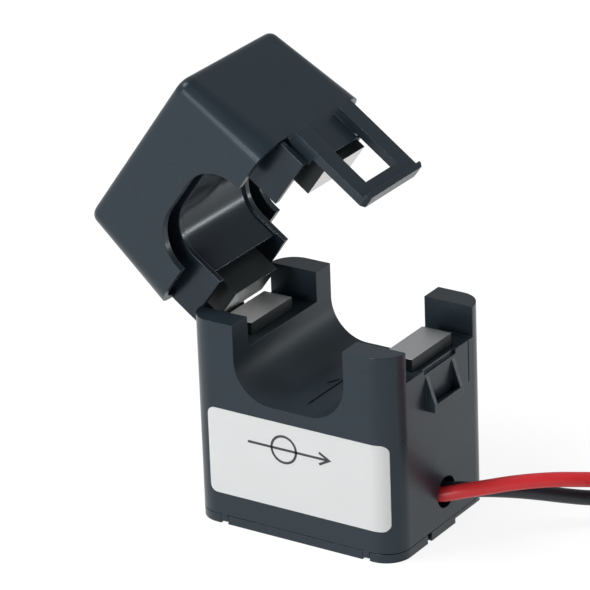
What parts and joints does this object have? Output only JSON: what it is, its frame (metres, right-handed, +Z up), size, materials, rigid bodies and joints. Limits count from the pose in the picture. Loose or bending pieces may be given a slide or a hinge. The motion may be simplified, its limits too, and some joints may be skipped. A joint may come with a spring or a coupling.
{
  "type": "split-core current transformer",
  "caption": "Clamp-on split-core current transformer with a hinged lid half, sprung upper core, latch loop, label panel and two flying leads.",
  "frame": {"origin": "centre of the standing face under the bottom cover", "axes": "+X across the conductor window from hinge to latch, +Y along the conductor, +Z up"},
  "size_m": [0.1399, 0.0526, 0.088],
  "materials": {
    "moulding": "satin moulded",
    "holder_moulding": "satin moulded",
    "label": "satin film",
    "core_steel": "ground pole faces, dull sides",
    "bobbin_nylon": "natural",
    "copper": "enamelled wire",
    "tape": "polyester tape",
    "red_sleeve": "shrunk sleeve",
    "black_sleeve": "shrunk sleeve",
    "red_pvc": "soft insulation",
    "black_pvc": "soft insulation",
    "pin_steel": "bright"
  },
  "bodies": {
    "base": {"base_housing": "moulding", "bottom_cover": "moulding", "side_label": "label", "lower_core": "core_steel", "bobbin": "bobbin_nylon", "secondary_winding": "copper", "winding_tape": "tape", "start_tail": "copper", "finish_tail": "copper", "red_splice_sleeve": "red_sleeve", "black_splice_sleeve": "black_sleeve", "lead_grip": "bobbin_nylon", "red_lead": "red_pvc", "black_lead": "black_pvc", "red_lead_coil": "red_pvc", "black_lead_coil": "black_pvc"},
    "lid": {"lid_cover": "moulding", "core_holder": "holder_moulding", "hinge_pin": "pin_steel", "core_spring": "pin_steel"},
    "floating_core": {"upper_core": "core_steel"}
  },
  "joints": [
    {"name": "lid_hinge", "type": "hinge", "parent": "base", "child": "lid", "pos_m": [-0.02595, 0, 0.03505], "axis": [0, 1, 0], "range_deg": [-4, 54.2], "deforming": ["core_spring"]},
    {"name": "core_float", "type": "slide", "parent": "lid", "child": "floating_core", "axis": [-0.8111, 0, 0.585], "range_m": [-0.0004, 0.00485]}
  ],
  "couplings": [
    {"joint": "core_float", "follows": "lid_hinge", "m_per_rad": 0.0050742}
  ]
}
